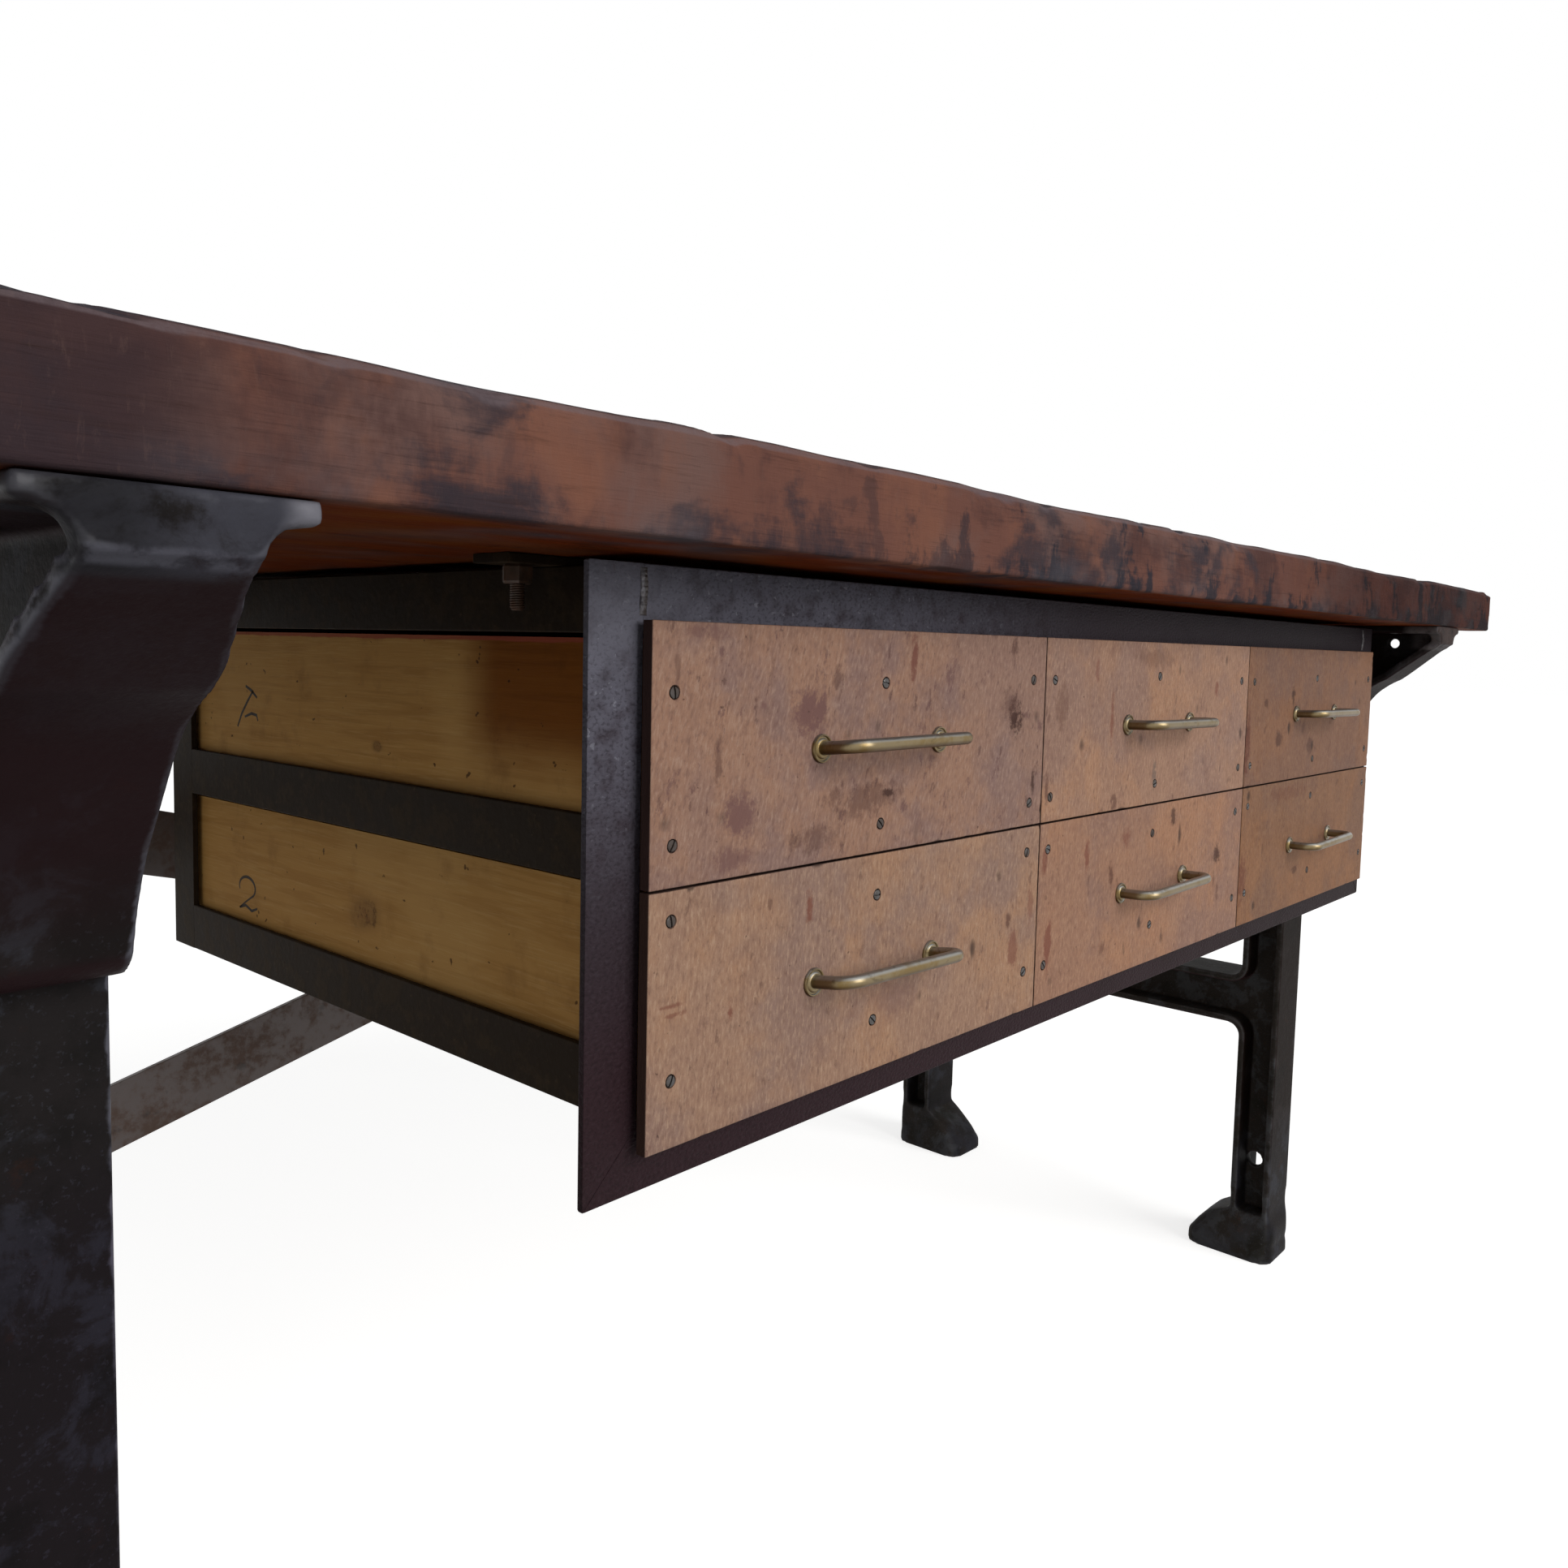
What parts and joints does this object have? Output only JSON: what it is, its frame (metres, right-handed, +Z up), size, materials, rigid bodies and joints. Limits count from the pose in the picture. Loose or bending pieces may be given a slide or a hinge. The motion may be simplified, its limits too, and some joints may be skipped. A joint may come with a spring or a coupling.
{
  "type": "industrial workbench",
  "caption": "Workshop bench with a thick plank top on cast iron leg frames, braced at the rear, with a hanging angle iron case of sliding drawers.",
  "frame": {"origin": "on the floor, below the middle of the plank top", "axes": "+X along the bench to the right of someone who faces its drawers, +Y to the rear, +Z up"},
  "size_m": [1.876, 0.8, 0.91],
  "materials": {
    "top_wood": "worn, oiled and greasy hardwood",
    "cast_iron": "black painted casting",
    "case_paint": "dark brown-grey hammered paint",
    "front_wood": "scraped, stained boards",
    "pine": "old bare pine",
    "brass": "tarnished brass",
    "brace_steel": "brown oxidised flat bar",
    "bolt_steel": "rusty bolts and dull screws"
  },
  "bodies": {
    "bench": {"top_plank_front": "top_wood", "top_plank_middle": "top_wood", "top_plank_rear": "top_wood", "leg_frame_left": "cast_iron", "leg_frame_right": "cast_iron", "leg_pad_bolts": "bolt_steel", "brace_bar_rising": "brace_steel", "brace_bar_falling": "brace_steel", "brace_bolts": "bolt_steel", "case_post_front_left": "case_paint", "case_post_front_right": "case_paint", "case_post_rear_left": "case_paint", "case_post_rear_right": "case_paint", "case_rail_front_top": "case_paint", "case_rail_front_bottom": "case_paint", "case_rail_rear_top": "case_paint", "case_rail_rear_bottom": "case_paint", "case_corner_welds": "case_paint", "side_angle_left_top": "case_paint", "side_angle_left_middle": "case_paint", "side_angle_left_bottom": "case_paint", "side_angle_right_top": "case_paint", "side_angle_right_middle": "case_paint", "side_angle_right_bottom": "case_paint", "case_dividers_front": "case_paint", "case_dividers_rear": "case_paint", "tee_runners": "case_paint", "tee_kickers": "case_paint", "hanging_lugs": "case_paint", "hanging_bolts": "bolt_steel"},
    "drawer_left_upper": {"drawer_left_upper_front": "front_wood", "drawer_left_upper_box": "pine", "drawer_left_upper_bottom": "pine", "drawer_left_upper_handle": "brass", "drawer_left_upper_screws": "bolt_steel"},
    "drawer_left_lower": {"drawer_left_lower_front": "front_wood", "drawer_left_lower_box": "pine", "drawer_left_lower_bottom": "pine", "drawer_left_lower_handle": "brass", "drawer_left_lower_screws": "bolt_steel"},
    "drawer_middle_upper": {"drawer_middle_upper_front": "front_wood", "drawer_middle_upper_box": "pine", "drawer_middle_upper_bottom": "pine", "drawer_middle_upper_handle": "brass", "drawer_middle_upper_screws": "bolt_steel"},
    "drawer_middle_lower": {"drawer_middle_lower_front": "front_wood", "drawer_middle_lower_box": "pine", "drawer_middle_lower_bottom": "pine", "drawer_middle_lower_handle": "brass", "drawer_middle_lower_screws": "bolt_steel"},
    "drawer_right_upper": {"drawer_right_upper_front": "front_wood", "drawer_right_upper_box": "pine", "drawer_right_upper_bottom": "pine", "drawer_right_upper_handle": "brass", "drawer_right_upper_screws": "bolt_steel"},
    "drawer_right_lower": {"drawer_right_lower_front": "front_wood", "drawer_right_lower_box": "pine", "drawer_right_lower_bottom": "pine", "drawer_right_lower_handle": "brass", "drawer_right_lower_screws": "bolt_steel"}
  },
  "joints": [
    {"name": "drawer_left_upper_slide", "type": "slide", "parent": "bench", "child": "drawer_left_upper", "axis": [0, -1, 0], "range_m": [0, 0.42]},
    {"name": "drawer_left_lower_slide", "type": "slide", "parent": "bench", "child": "drawer_left_lower", "axis": [0, -1, 0], "range_m": [0, 0.42]},
    {"name": "drawer_middle_upper_slide", "type": "slide", "parent": "bench", "child": "drawer_middle_upper", "axis": [0, -1, 0], "range_m": [0, 0.42]},
    {"name": "drawer_middle_lower_slide", "type": "slide", "parent": "bench", "child": "drawer_middle_lower", "axis": [0, -1, 0], "range_m": [0, 0.42]},
    {"name": "drawer_right_upper_slide", "type": "slide", "parent": "bench", "child": "drawer_right_upper", "axis": [0, -1, 0], "range_m": [0, 0.42]},
    {"name": "drawer_right_lower_slide", "type": "slide", "parent": "bench", "child": "drawer_right_lower", "axis": [0, -1, 0], "range_m": [0, 0.42]}
  ]
}
